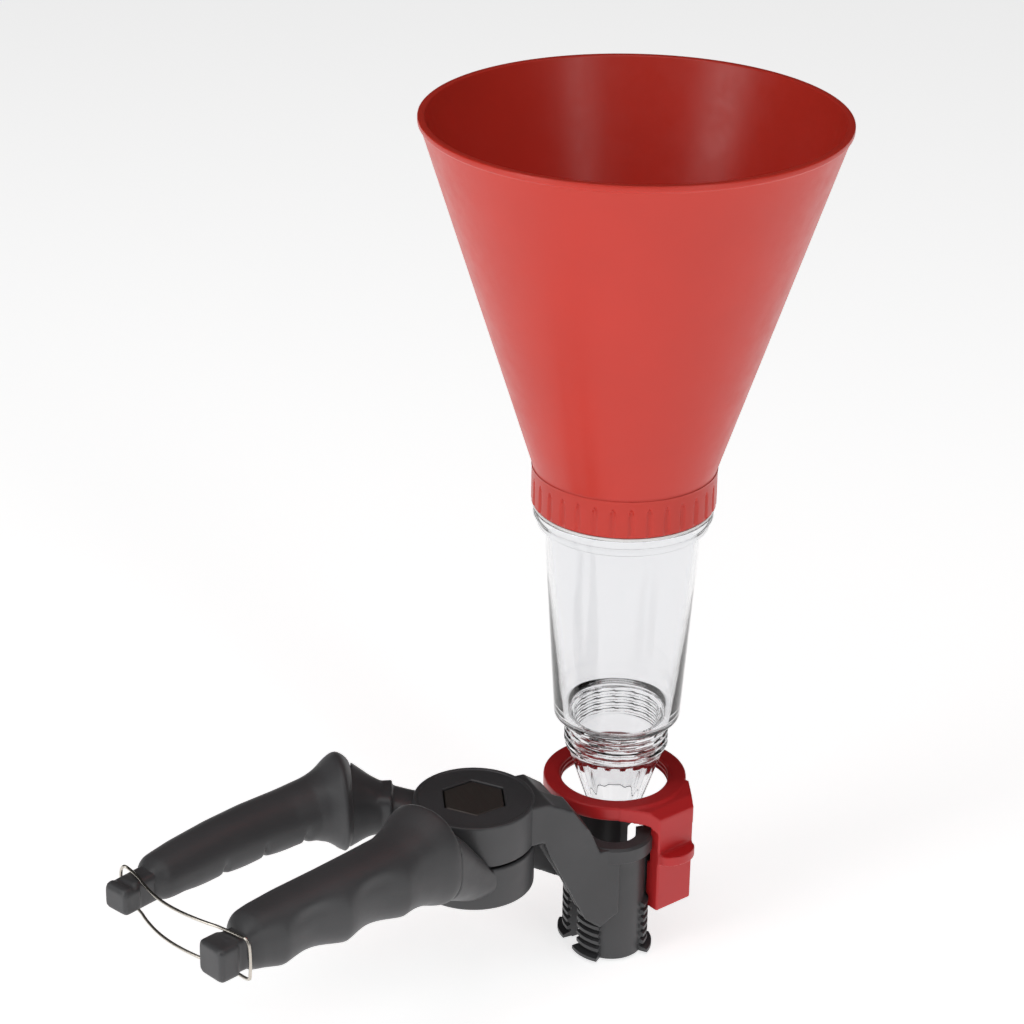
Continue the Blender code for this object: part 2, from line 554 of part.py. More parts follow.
def main():
    for obj in list(bpy.data.objects):
        bpy.data.objects.remove(obj)
    red = material("red_polypropylene", (0.60, 0.035, 0.025), 0.35)
    red_bracket = material("red_nylon", (0.55, 0.03, 0.02), 0.40)
    clear = material("clear_acrylic", (0.95, 0.96, 0.97), 0.05, transmission=1.0)
    seal = material("white_seal", (0.85, 0.85, 0.84), 0.5)
    nylon = material("black_nylon", (0.030, 0.030, 0.032), 0.45)
    rubber = material("grip_rubber", (0.026, 0.026, 0.028), 0.55)
    dark = material("dark_steel", (0.055, 0.050, 0.046), 0.5, metallic=0.6)
    steel = material("bright_steel", (0.60, 0.58, 0.54), 0.22, metallic=1.0)

    make_bowl(red)
    make_gasket(seal)
    make_tube(clear)
    make_bracket(red_bracket)
    make_upper_lever(nylon)
    make_lower_lever(nylon)
    make_grip("far_grip", FAR_GRIP, FAR_CORE, 1, 0, 0.80, rubber)
    make_grip("near_grip", NEAR_GRIP, NEAR_CORE, -1, 3, 0.86, rubber)
    make_pivot_parts(dark, steel)
    make_spring(steel)
    make_lock(steel)


main()
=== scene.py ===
"""Clamp-on filling funnel: finished surfaces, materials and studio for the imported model."""
import math

import bpy
import numpy as np
from mathutils import Matrix, Vector


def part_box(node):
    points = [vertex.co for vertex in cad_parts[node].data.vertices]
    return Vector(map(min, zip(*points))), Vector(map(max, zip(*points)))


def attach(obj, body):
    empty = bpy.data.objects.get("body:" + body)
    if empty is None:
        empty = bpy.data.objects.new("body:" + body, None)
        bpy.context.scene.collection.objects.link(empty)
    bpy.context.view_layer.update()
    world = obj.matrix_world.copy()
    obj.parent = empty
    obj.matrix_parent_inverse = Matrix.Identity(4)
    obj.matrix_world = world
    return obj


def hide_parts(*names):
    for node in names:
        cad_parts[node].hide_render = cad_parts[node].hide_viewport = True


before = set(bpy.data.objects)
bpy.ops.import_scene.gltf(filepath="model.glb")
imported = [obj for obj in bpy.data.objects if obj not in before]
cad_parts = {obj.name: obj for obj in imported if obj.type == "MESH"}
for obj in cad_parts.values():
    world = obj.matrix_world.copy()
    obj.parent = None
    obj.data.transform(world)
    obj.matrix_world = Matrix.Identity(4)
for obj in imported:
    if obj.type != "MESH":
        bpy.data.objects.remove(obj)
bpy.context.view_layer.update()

bl_info = {
    "name": "Clamp-on Filling Funnel",
    "version": (1, 0, 0),
    "blender": (4, 5, 0),
    "location": "View3D > Sidebar > Funnel",
    "description": "Builds the funnel's bowl, sight tube, ring bracket, spring clamp and studio",
    "category": "Add Mesh",
}

MM = 0.001


def node_box(name):
    """A frame node's lowest and highest corner in millimetres, as two arrays."""
    low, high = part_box(name)
    return np.array(low) / MM, np.array(high) / MM


TUBE_LOW, TUBE_HIGH = node_box("sight_tube")
BOWL_LOW, BOWL_HIGH = node_box("funnel_bowl")
BOLT_LOW, BOLT_HIGH = node_box("pivot_bolt")
FUNNEL = (TUBE_LOW[:2] + TUBE_HIGH[:2]) / 2
PIVOT = (BOLT_LOW[:2] + BOLT_HIGH[:2]) / 2
RIM_Z = BOWL_HIGH[2]
HANDLE_Z = 63.5


# --- settings -------------------------------------------------------------------------------
def length(name, text, default, low=0.0):
    return bpy.props.FloatProperty(name=name, description=text + ", in millimetres",
                                   default=default, min=low)


def paint(name, text, default):
    return bpy.props.FloatVectorProperty(name=name, description=text, subtype="COLOR", size=3,
                                         default=default, min=0.0, max=1.0)


class FunnelBowlSizes(bpy.types.PropertyGroup):
    rim_lip: length("Rim lip", "Height of the bead round the rim", 1.9)
    groove_depth: length("Groove depth", "Depth of the collar's upright grooves", 0.6)
    grooves: bpy.props.IntProperty(name="Grooves", description="Grooves round the collar",
                                   default=32, min=8)
    thread_pitch: length("Thread pitch", "Pitch of the tube's lower thread", 2.4, 0.5)


class FunnelClampSizes(bpy.types.PropertyGroup):
    finger_depth: length("Finger hollows", "Depth of the near grip's finger hollows", 2.3)
    rib_pitch: length("Rib pitch", "Spacing of the ribs on the jaws", 3.0, 1.0)
    wire: length("Wire radius", "Radius of the wire lock", 0.55, 0.1)


class FunnelColours(bpy.types.PropertyGroup):
    bowl: paint("Bowl", "Red of the bowl", (0.66, 0.040, 0.024))
    bracket: paint("Bracket", "Red of the ring bracket", (0.60, 0.022, 0.024))
    lever: paint("Levers", "Black of the levers", (0.062, 0.062, 0.065))
    grip: paint("Grips", "Black of the soft grips", (0.058, 0.058, 0.061))
    bolt: paint("Bolt", "Brownish black of the bolt's head", (0.095, 0.082, 0.074))
    wire: paint("Wire", "Bright steel of the wire lock", (0.62, 0.58, 0.52))


class FunnelStage(bpy.types.PropertyGroup):
    lens: bpy.props.FloatProperty(name="Lens", description="Focal length", default=105.47,
                                  min=20.0)
    roll: bpy.props.FloatProperty(name="Roll", description="Camera roll", subtype="ANGLE",
                                  default=math.radians(0.88))
    floor: paint("Floor", "Colour of the floor", (0.93, 0.93, 0.93))


# --- surfaces -------------------------------------------------------------------------------
def mesh_object(name, points, faces):
    """An object at the origin from points in millimetres and their faces."""
    mesh = bpy.data.meshes.new(name)
    mesh.from_pydata((np.asarray(points) * MM).tolist(), [], faces)
    mesh.update()
    obj = bpy.data.objects.new(name, mesh)
    bpy.context.scene.collection.objects.link(obj)
    return obj


def skin(name, grid, wrap_rows=False, wrap_columns=True):
    """A surface through rows of points, flat ends on open rows, turned to a positive volume."""
    rows, columns, _ = grid.shape
    index = np.arange(rows * columns).reshape(rows, columns)
    down = np.roll(index, -1, 0) if wrap_rows else index[1:]
    top = index if wrap_rows else index[:-1]
    if wrap_columns:
        quads = np.stack([top, np.roll(top, -1, 1), np.roll(down, -1, 1), down], -1)
    else:
        quads = np.stack([top[:, :-1], top[:, 1:], down[:, 1:], down[:, :-1]], -1)
    quads = quads.reshape(-1, 4)
    corners = grid.reshape(-1, 3)
    a, b, c, d = (corners[quads[:, k]] for k in range(4))
    volume = np.einsum("ij,ij->", a, np.cross(b, c)) + np.einsum("ij,ij->", a, np.cross(c, d))
    faces = quads.tolist()
    if not wrap_rows and wrap_columns:
        faces += [index[0][::-1].tolist(), index[-1].tolist()]
        for ring in (index[0][::-1], index[-1]):
            p = corners[ring]
            volume += np.einsum("ij,ij->", np.broadcast_to(p[0], p[1:-1].shape),
                                np.cross(p[1:-1], p[2:]))
    if volume < 0:
        faces = [face[::-1] for face in faces]
    return mesh_object(name, corners, faces)


def rounded(profile, radius, steps=4):
    """A closed profile with each corner replaced by a quadratic arc no longer than radius."""
    p = np.asarray(profile, float)
    before, after = np.roll(p, 1, 0) - p, np.roll(p, -1, 0) - p
    reach_b = np.minimum(radius, np.linalg.norm(before, axis=1) * 0.45)
    reach_a = np.minimum(radius, np.linalg.norm(after, axis=1) * 0.45)
    start = p + before / np.linalg.norm(before, axis=1)[:, None] * reach_b[:, None]
    end = p + after / np.linalg.norm(after, axis=1)[:, None] * reach_a[:, None]
    t = np.linspace(0, 1, steps)[None, :, None]
    arcs = start[:, None] * (1 - t) ** 2 + 2 * p[:, None] * t * (1 - t) + end[:, None] * t ** 2
    return arcs.reshape(-1, 2)


def turned(name, profile, sides, centre, radius_at=None):
    """Points (radius, height) turned about an upright line; radius_at(r, z, angle) reshapes it."""
    profile = np.asarray(profile, float)
    angle = np.linspace(0, 2 * np.pi, sides, endpoint=False)
    r, a = np.meshgrid(profile[:, 0], angle)
    z = np.broadcast_to(profile[:, 1], r.shape)
    if radius_at is not None:
        r = radius_at(r, z, a)
    grid = np.stack([centre[0] + r * np.cos(a), centre[1] + r * np.sin(a), z], -1)
    return skin(name, grid, wrap_rows=True)


def superellipse(sides, power):
    """Unit points (cos^power, sin^power), a round-cornered box for a power under 1."""
    q = np.linspace(0, 2 * np.pi, sides, endpoint=False)
    c, s = np.cos(q), np.sin(q)
    return np.sign(c) * np.abs(c) ** power, np.sign(s) * np.abs(s) ** power, q


def smooth_table(stations, step, blur):
    """Stations resampled evenly along their first column and softened by a Hann window."""
    table = np.asarray(stations, float)
    at = np.arange(table[0, 0], table[-1, 0] + step * 0.5, step)
    reach = max(1, int(blur / step))
    window = np.hanning(2 * reach + 3)[1:-1]
    window /= window.sum()
    columns = [at]
    for k in range(1, table.shape[1]):
        value = np.interp(at, table[:, 0], table[:, k])
        padded = np.concatenate([2 * value[0] - value[reach:0:-1], value,
                                 2 * value[-1] - value[-2:-reach - 2:-1]])
        columns.append(np.convolve(padded, window, "valid"))
    return np.stack(columns, -1)


def swept(name, table, sides=64, power=0.8, shape=None, centre_z=HANDLE_Z, under=1.0):
    """Superellipse sections across a level path; table rows are back, across, half sizes."""
    line = np.stack([PIVOT[0] - table[:, 0], table[:, 1]], -1)
    step = np.gradient(line, axis=0)
    step /= np.linalg.norm(step, axis=1)[:, None]
    side = np.stack([-step[:, 1], step[:, 0]], -1)
    side *= np.sign(side[:, 1])[:, None]
    c, s, q = superellipse(sides, power)
    u, v = table[:, 2:3] * c, table[:, 3:4] * np.where(s < 0, s * under, s)
    if shape is not None:
        u, v = shape(u, v, table[:, 0:1], q[None, :])
    grid = np.stack([line[:, 0:1] + side[:, 0:1] * u, line[:, 1:2] + side[:, 1:2] * u,
                     np.reshape(centre_z, (-1, 1)) + v], -1)
    return skin(name, grid)


def prism(name, outline, low, high, turn=0.0):
    """A plan outline raised from low to high, turned about the clamp's pivot."""
    plan = about_pivot(np.asarray(outline, float), turn)
    ends = [np.column_stack([plan, np.full(len(plan), z)]) for z in (low, high)]
    return skin(name, np.stack(ends))


def side_prism(name, outline, near, far, turn=0.0):
    """An outline in the upright middle plane carried from y = near to far, then turned."""
    xz = np.asarray(outline, float)
    rows = []
    for y in (near, far):
        plan = about_pivot(np.column_stack([xz[:, 0], np.full(len(xz), y)]), turn)
        rows.append(np.column_stack([plan, xz[:, 1]]))
    return skin(name, np.stack(rows))


def about_pivot(plan, degrees):
    """Plan points turned about the clamp's pivot."""
    c, s = math.cos(math.radians(degrees)), math.sin(math.radians(degrees))
    x, y = plan[:, 0] - PIVOT[0], plan[:, 1] - PIVOT[1]
    return np.column_stack([PIVOT[0] + x * c - y * s, PIVOT[1] + x * s + y * c])


def smoothstep(low, high, x):
    t = np.clip((x - low) / (high - low), 0, 1)
    return t * t * (3 - 2 * t)


def carved(piece, tool):
    """The piece with the tool's shape cut out of it; the tool is removed."""
    modifier = piece.modifiers.new("Cut", "BOOLEAN")
    modifier.operation = "DIFFERENCE"
    modifier.solver = "EXACT"
    modifier.object = tool
    bake(piece)
    bpy.data.objects.remove(tool)
    return piece


def bake(piece):
    graph = bpy.context.evaluated_depsgraph_get()
    mesh = bpy.data.meshes.new_from_object(piece.evaluated_get(graph))
    piece.modifiers.clear()
    piece.data = mesh
    return piece


def blended(name, parts, voxel, rounds):
    """Overlapping shells merged into one moulding on a fine voxel grid, edges softened."""
    points, faces, start = [], [], 0
    for part in parts:
        mesh = part.data
        flat = np.empty(len(mesh.vertices) * 3)
        mesh.vertices.foreach_get("co", flat)
        points.append(flat.reshape(-1, 3) / MM)
        corners = np.empty(len(mesh.loops), np.int32)
        mesh.loops.foreach_get("vertex_index", corners)
        begins = np.empty(len(mesh.polygons), np.int32)
        mesh.polygons.foreach_get("loop_start", begins)
        faces += [face.tolist() for face in np.split(corners + start, begins[1:])]
        start += len(mesh.vertices)
        bpy.data.objects.remove(part)
    piece = mesh_object(name, np.concatenate(points), faces)
    remesh = piece.modifiers.new("Merge", "REMESH")
    remesh.mode = "VOXEL"
    remesh.voxel_size = voxel * MM
    soften = piece.modifiers.new("Soften", "SMOOTH")
    soften.factor = 0.5
    soften.iterations = rounds
    return bake(piece)


def finish_piece(piece, material, slot, body, *nodes, angle=40.0):
    """Material, smooth shading, and the piece's place on its body and for its nodes."""
    piece.data.materials.clear()
    piece.data.materials.append(material)
    piece.data.shade_smooth()
    piece.data.set_sharp_from_angle(angle=math.radians(angle))
    if nodes:
        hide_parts(*nodes)
    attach(piece, body)
    return piece


# --- materials ------------------------------------------------------------------------------
class Nodes:
    """Adds nodes to a tree and links them by socket name."""

    def __init__(self, tree):
        self.tree = tree

    def add(self, kind, inputs=None, **settings):
        node = self.tree.nodes.new(kind)
        for key, value in settings.items():
            setattr(node, key, value)
        for key, value in (inputs or {}).items():
            if isinstance(value, bpy.types.NodeSocket):
                self.tree.links.new(value, node.inputs[key])
            else:
                node.inputs[key].default_value = value
        return node


def moulded_group():
    """Moulded plastic or rubber: cloudy colour, fine grain height and handling marks."""
    if "Moulded Surface" in bpy.data.node_groups:
        return bpy.data.node_groups["Moulded Surface"]
    group = bpy.data.node_groups.new("Moulded Surface", "ShaderNodeTree")
    face = group.interface
    for label, kind, default in (("Colour", "NodeSocketColor", (0.5, 0.5, 0.5, 1)),
                                 ("Roughness", "NodeSocketFloat", 0.4),
                                 ("Grain Scale", "NodeSocketFloat", 900.0),
                                 ("Grain", "NodeSocketFloat", 0.3),
                                 ("Variation", "NodeSocketFloat", 0.1)):
        socket = face.new_socket(name=label, in_out="INPUT", socket_type=kind)
        socket.default_value = default
    for label, kind in (("Colour", "NodeSocketColor"), ("Roughness", "NodeSocketFloat"),
                        ("Height", "NodeSocketFloat")):
        face.new_socket(name=label, in_out="OUTPUT", socket_type=kind)
    n = Nodes(group)
    given = n.add("NodeGroupInput")
    place = n.add("ShaderNodeTexCoord").outputs["Object"]
    cloud = n.add("ShaderNodeTexNoise", {"Vector": place, "Scale": 38.0, "Detail": 5.0})
    grain = n.add("ShaderNodeTexNoise", {"Vector": place, "Scale": given.outputs["Grain Scale"],
                                         "Detail": 2.0})
    marks = n.add("ShaderNodeTexNoise", {"Vector": place, "Scale": 160.0, "Detail": 6.0,
                                         "Roughness": 0.7})
    spread = n.add("ShaderNodeMapRange", {"Value": cloud.outputs["Fac"], "From Min": 0.3,
                                          "From Max": 0.7, "To Min": -0.5, "To Max": 0.5})
    amount = n.add("ShaderNodeMath", {0: spread.outputs["Result"],
                                      1: given.outputs["Variation"]}, operation="MULTIPLY")
    value = n.add("ShaderNodeMath", {0: amount.outputs[0], 1: 1.0}, operation="ADD")
    tint = n.add("ShaderNodeVectorMath", {0: given.outputs["Colour"]}, operation="SCALE")
    group.links.new(value.outputs[0], tint.inputs["Scale"])
    worn = n.add("ShaderNodeMapRange", {"Value": marks.outputs["Fac"], "From Min": 0.35,
                                        "From Max": 0.75, "To Min": -0.05, "To Max": 0.07})
    rough = n.add("ShaderNodeMath", {0: given.outputs["Roughness"], 1: worn.outputs["Result"]},
                  operation="ADD")
    height = n.add("ShaderNodeMath", {0: grain.outputs["Fac"], 1: given.outputs["Grain"]},
                   operation="MULTIPLY")
    out = n.add("NodeGroupOutput")
    group.links.new(tint.outputs[0], out.inputs["Colour"])
    group.links.new(rough.outputs[0], out.inputs["Roughness"])
    group.links.new(height.outputs[0], out.inputs["Height"])
    return group


def plain_material(name):
    material = bpy.data.materials.new(name)
    material.use_nodes = True
    shader = material.node_tree.nodes["Principled BSDF"]
    return material, shader, Nodes(material.node_tree)


def moulded_material(name, colour, roughness, grain_scale, grain, variation, bump, **sockets):
    """A Principled material fed by the moulded surface group, with its own constant sockets."""
    material, shader, n = plain_material(name)
    surface = n.add("ShaderNodeGroup", node_tree=moulded_group())
    surface.inputs["Colour"].default_value = (*colour, 1.0)
    surface.inputs["Roughness"].default_value = roughness
    surface.inputs["Grain Scale"].default_value = grain_scale
    surface.inputs["Grain"].default_value = grain
    surface.inputs["Variation"].default_value = variation
    relief = n.add("ShaderNodeBump", {"Height": surface.outputs["Height"], "Strength": 0.6,
                                      "Distance": bump * MM})
    links = material.node_tree.links
    links.new(surface.outputs["Colour"], shader.inputs["Base Color"])
    links.new(surface.outputs["Roughness"], shader.inputs["Roughness"])
    links.new(relief.outputs["Normal"], shader.inputs["Normal"])
    for key, value in sockets.items():
        shader.inputs[key.replace("_", " ")].default_value = value
    return material


def metal_material(name, colour, roughness, metallic, stretch):
    """Steel with fine drawn lines: noise stretched along one axis varies roughness and height."""
    material, shader, n = plain_material(name)
    place = n.add("ShaderNodeTexCoord").outputs["Object"]
    along = n.add("ShaderNodeMapping", {"Vector": place, "Scale": stretch})
    lines = n.add("ShaderNodeTexNoise", {"Vector": along.outputs["Vector"], "Scale": 60.0,
                                         "Detail": 4.0})
    rough = n.add("ShaderNodeMapRange", {"Value": lines.outputs["Fac"], "From Min": 0.3,
                                         "From Max": 0.7, "To Min": roughness - 0.06,
                                         "To Max": roughness + 0.08})
    low = tuple(c * 0.82 for c in colour)
    tone = n.add("ShaderNodeMix", {"Factor": lines.outputs["Fac"]}, data_type="RGBA")
    tone.inputs[6].default_value = (*colour, 1.0)
    tone.inputs[7].default_value = (*low, 1.0)
    relief = n.add("ShaderNodeBump", {"Height": lines.outputs["Fac"], "Strength": 0.3,
                                      "Distance": 0.03 * MM})
    links = material.node_tree.links
    links.new(tone.outputs[2], shader.inputs["Base Color"])
    links.new(rough.outputs["Result"], shader.inputs["Roughness"])
    links.new(relief.outputs["Normal"], shader.inputs["Normal"])
    shader.inputs["Metallic"].default_value = metallic
    return material


def clear_material():
    """Clear moulded acrylic with faint flow lines in its gloss."""
    material, shader, n = plain_material("Clear Acrylic")
    place = n.add("ShaderNodeTexCoord").outputs["Object"]
    flow = n.add("ShaderNodeTexNoise", {"Vector": place, "Scale": 45.0, "Detail": 2.0})
    rough = n.add("ShaderNodeMapRange", {"Value": flow.outputs["Fac"], "From Min": 0.3,
                                         "From Max": 0.7, "To Min": 0.01, "To Max": 0.05})
    relief = n.add("ShaderNodeBump", {"Height": flow.outputs["Fac"], "Strength": 0.25,
                                      "Distance": 0.25 * MM})
    links = material.node_tree.links
    links.new(rough.outputs["Result"], shader.inputs["Roughness"])
    links.new(relief.outputs["Normal"], shader.inputs["Normal"])
    shader.inputs["Base Color"].default_value = (0.90, 0.905, 0.915, 1.0)
    shader.inputs["Transmission Weight"].default_value = 1.0
    shader.inputs["IOR"].default_value = 1.45
    return material


def material_named(name):
    """One of the funnel's finishes, made the first time it is asked for."""
    if name in bpy.data.materials:
        return bpy.data.materials[name]
    look = bpy.context.scene.funnel_colours
    makers = {
        "Red Polypropylene": lambda: moulded_material(
            name, look.bowl, 0.34, 1400.0, 0.25, 0.05, 0.05, Subsurface_Weight=0.06,
            Subsurface_Scale=0.004, Specular_IOR_Level=0.42),
        "Red Nylon": lambda: moulded_material(
            name, look.bracket, 0.36, 1200.0, 0.35, 0.08, 0.06, Specular_IOR_Level=0.45),
        "Black Nylon": lambda: moulded_material(
            name, look.lever, 0.42, 1500.0, 0.5, 0.25, 0.08, Specular_IOR_Level=0.5),
        "Grip Rubber": lambda: moulded_material(
            name, look.grip, 0.50, 1800.0, 0.6, 0.25, 0.09, Sheen_Weight=0.08,
            Sheen_Roughness=0.5),
        "White Seal": lambda: moulded_material(
            name, (0.86, 0.86, 0.85), 0.5, 1200.0, 0.2, 0.04, 0.03),
        "Dark Steel": lambda: metal_material(name, look.bolt, 0.48, 0.55, (8.0, 1.0, 1.0)),
        "Bright Steel": lambda: metal_material(name, look.wire, 0.24, 1.0, (1.0, 1.0, 9.0)),
        "Clear Acrylic": clear_material,
    }
    return makers[name]()


# --- bowl and tube --------------------------------------------------------------------------
def build_bowl(sizes):
    """Straight cone with a beaded rim over a collar; grooves are cosine notches in the collar."""
    x = BOWL_HIGH[0] - BOWL_LOW[0]
    rim, wall = x / 2, 2.3
    top, low = BOWL_LOW[2] + 13.5, BOWL_LOW[2]
    slope = (rim - 0.7 - 31.0) / (RIM_Z - sizes.rim_lip - 0.3 - top)
    seat = low + 10.3
    shell = rounded([
        (rim - 0.1 - wall, RIM_Z), (rim, RIM_Z), (rim, RIM_Z - sizes.rim_lip),
        (rim - 0.75, RIM_Z - sizes.rim_lip - 0.4), (31.05, top + 0.3), (31.2, top - 0.6)], 0.45)
    heights = np.concatenate([np.linspace(top - 1.0, top - 5.0, 18),
                              np.linspace(top - 5.6, low + 0.5, 8)])
    collar = np.column_stack([np.full(len(heights), 31.2), heights])
    inside = rounded([
        (30.8, low), (28.6, low), (28.6, seat), (24.5, seat), (24.5, seat + 3.0),
        (28.0, top + 0.8), (31.0 + slope * 1.8 - wall, top + 1.8)], 0.3, 3)
    profile = np.concatenate([shell, collar, inside])

    def grooved(r, z, a):
        phase = np.abs((a * sizes.grooves / (2 * np.pi) + 0.5) % 1.0 - 0.5)
        across = smoothstep(0.17, 0.08, phase)
        crown = top - 3.0 - 22.0 * np.clip(phase, 0, 0.16) ** 1.5 * 2.0
        up = smoothstep(0.25, -0.35, z - crown) * smoothstep(low + 0.2, low + 0.7, z)
        return r - sizes.groove_depth * across * up * (np.abs(r - 31.2) < 1e-3)

    bowl = turned("funnel_bowl_shell", profile, sizes.grooves * 14, FUNNEL, grooved)
    return finish_piece(bowl, material_named("Red Polypropylene"), "red_polypropylene", "bowl",
                        "funnel_bowl", angle=50)


def build_tube(sizes):
    """Tapered clear shell: helical thread z = z0 - pitch (turn + n), cosine-fluted spigot."""
    flange, low = TUBE_HIGH[2] - 11.5, TUBE_LOW[2]
    thread_top, thread_low = low + 33.6, low + 21.4
    upper = rounded([
        (28.3, flange + 11.5), (28.3, flange), (30.5, flange), (30.5, flange - 2.7),
        (29.3, flange - 2.95), (29.3, flange - 5.8), (26.9, flange - 6.2), (26.5, flange - 7.4),
        (21.9, low + 34.9), (21.4, low + 34.1), (17.6, low + 33.9)], 0.4)
    threads = np.arange(thread_top, thread_low, -0.16)
    threads = np.column_stack([np.full(len(threads), 17.25), threads])
    spigot = np.column_stack([np.interp(np.linspace(0, 1, 24), (0, 0.55, 1), (16.9, 13.2, 10.1)),
                              np.linspace(low + 21.0, low + 0.4, 24)])
    inner = rounded([
        (9.9, low), (8.6, low), (11.6, low + 9.7), (15.3, low + 21.4), (15.6, low + 33.7),
        (20.3, low + 36.2), (24.9, flange - 7.4), (25.2, flange), (25.6, flange + 11.5)], 0.5, 3)
    profile = np.concatenate([upper, threads, spigot, inner])
    outer = np.zeros(len(profile), bool)
    outer[len(upper):len(upper) + len(threads) + len(spigot)] = True

    def shaped(r, z, a):
        turn = ((thread_top - z) / sizes.thread_pitch - a / (2 * np.pi)) % 1.0
        ridge = np.clip(1.6 - np.abs(turn - 0.5) * 5.0, 0, 1)
        fade = (smoothstep(thread_low, thread_low + 1.2, z)
                * smoothstep(thread_top, thread_top - 0.8, z))
        flute = 0.5 + 0.5 * np.cos(20 * a)
        spout = smoothstep(low + 20.5, low + 18.5, z) * smoothstep(low, low + 3.0, z)
        return r + outer * (0.9 * ridge * fade - 0.35 * flute * spout)

    tube = turned("sight_tube_shell", profile, 160, FUNNEL, shaped)
    return finish_piece(tube, material_named("Clear Acrylic"), "clear_acrylic", "tube",
                        "sight_tube", angle=50)


# --- bracket --------------------------------------------------------------------------------
LEG_TURN = math.radians(14.2)


def from_leg(t, n):
    """Plan points from distances along the leg's width and out from the funnel's axis."""
    t, n = np.asarray(t, float), np.asarray(n, float)
    return np.stack([FUNNEL[0] + t * math.cos(LEG_TURN) + n * math.sin(LEG_TURN),
                     FUNNEL[1] + t * math.sin(LEG_TURN) - n * math.cos(LEG_TURN)], -1)


def leg_block(name, t0, t1, n0, n1, z0, z1):
    plan = from_leg([t0, t1, t1, t0], [n0, n0, n1, n1])
    return skin(name, np.stack([np.column_stack([plan, np.full(4, z)]) for z in (z0, z1)]))


def build_bracket(sizes):
    """Ring, sloping bridge and leg merged into one moulding, with a helical thread inside."""
    low, high = 52.4, 57.7
    ring = turned("ring", rounded([(19.4, high), (25.1, high), (25.1, low), (19.4, low)], 0.8),
                  144, FUNNEL)
    sections = [(-16.0, 15.5, 15.0, low, high), (-15.0, 16.6, 20.5, low, high),
                (-7.5, 12.8, 26.4, low - 1.8, high - 1.6), (-4.6, 11.3, 29.2, 47.0, 53.2)]
    rows = []
    for t0, t1, n, z0, z1 in sections:
        plan = from_leg([t0, t1, t1, t0], [n] * 4)
        rows.append(np.column_stack([plan, [z0, z0, z1, z1]]))
    bridge = carved(skin("bridge", np.stack(rows)),
                    turned("bore", [(0.01, 40), (19.6, 40), (19.6, 70), (0.01, 70)], 144, FUNNEL))
    leg = leg_block("leg", -4.6, 11.3, 24.7, 29.3, 16.5, 52.6)
    a = np.linspace(0, np.pi, 33)
    plan = from_leg(np.concatenate([[10.95], 3.35 + 7.6 * np.cos(a), [-4.25]]),
                    np.concatenate([[26.0], 29.3 + 5.2 * np.sin(a), [26.0]]))
    tab = skin("tab", np.stack([np.column_stack([plan, np.full(len(plan), z)])
                                for z in (35.4, 39.2)]))
    hooks = [leg_block("hook", t0, t1, 23.1, 26.0, z0, z1)
             for t0, t1 in ((-4.5, -1.2), (7.9, 11.2)) for z0, z1 in ((21.0, 34.5), (16.6, 19.2))]
    body = blended("ring_bracket_moulding", [ring, bridge, leg, tab, *hooks], 0.42, 3)
    finish_piece(body, material_named("Red Nylon"), "red_nylon", "bracket", "ring_bracket")
    z = np.arange(low + 0.2, high - 0.2, 0.12)
    profile = np.concatenate([np.column_stack([np.full(len(z), 19.5), z]),
                              [(20.6, high - 0.3), (20.6, low + 0.3)]])

    def threaded(r, height, angle):
        turn = ((height - low) / 1.75 - angle / (2 * np.pi)) % 1.0
        ridge = np.clip(1.5 - np.abs(turn - 0.5) * 4.5, 0, 1)
        fade = smoothstep(low + 0.1, low + 0.9, height) * smoothstep(high - 0.1, high - 0.9, height)
        return np.where(r < 20.0, r - 0.75 * ridge * fade, r)

    thread = turned("ring_bracket_thread", profile, 144, FUNNEL, threaded)
    return finish_piece(thread, material_named("Red Nylon"), "red_nylon", "bracket")


# --- clamp ----------------------------------------------------------------------------------
OPEN = 5.4          # degrees each jaw stands open at rest
JAW_X = PIVOT[0] + 51.5
JAW_BORE = 9.3      # radius kept clear inside the jaws
HEX_TURN = math.radians(70)
FAR_CORE = ((24.0, 14.5, 8.0, 6.6), (37.0, 20.0, 6.0, 6.8), (48.0, 21.6, 4.5, 6.5),
            (61.4, 19.6, 4.5, 6.2), (75.0, 16.0, 4.5, 6.0), (88.4, 11.4, 4.5, 5.8),
            (102.6, 5.9, 4.5, 5.6), (119.0, -1.2, 4.4, 5.4), (124.0, -3.4, 4.4, 5.4))
FAR_GRIP = ((36.4, 20.2, 12.8, 14.0), (38.5, 20.9, 14.4, 17.4), (41.0, 21.4, 15.0, 19.4),
            (43.5, 21.7, 13.6, 17.2), (47.0, 21.8, 11.8, 13.4), (51.5, 21.6, 10.6, 11.5),
            (61.4, 19.6, 9.8, 10.6),
            (75.0, 16.0, 9.5, 10.4), (88.4, 11.4, 9.2, 10.0), (102.6, 5.9, 8.6, 9.2),
            (111.0, 2.3, 8.0, 8.4), (116.6, -0.1, 7.2, 7.6))
NEAR_CORE = ((21.6, -16.7, 7.0, 7.2), (36.0, -25.6, 5.4, 7.6), (48.0, -30.4, 4.8, 7.6),
             (58.0, -33.8, 4.8, 7.4), (67.0, -36.6, 4.8, 7.4), (84.3, -41.6, 4.8, 7.2),
             (97.6, -45.6, 4.8, 6.8), (102.0, -47.2, 4.6, 6.4), (107.0, -49.0, 4.6, 6.4))
NEAR_GRIP = ((26.4, -20.3, 15.6, 19.2), (28.5, -21.5, 15.6, 19.2), (31.5, -23.2, 15.0, 17.8),
             (35.0, -25.1, 13.9, 16.0), (42.0, -28.2, 12.6, 14.3), (54.0, -32.4, 12.1, 13.9),
             (67.0, -36.6, 11.7, 13.3), (84.3, -41.6, 10.9, 12.5), (94.6, -44.6, 9.9, 11.7),
             (99.0, -46.1, 9.3, 10.9), (102.4, -47.4, 8.6, 10.0))


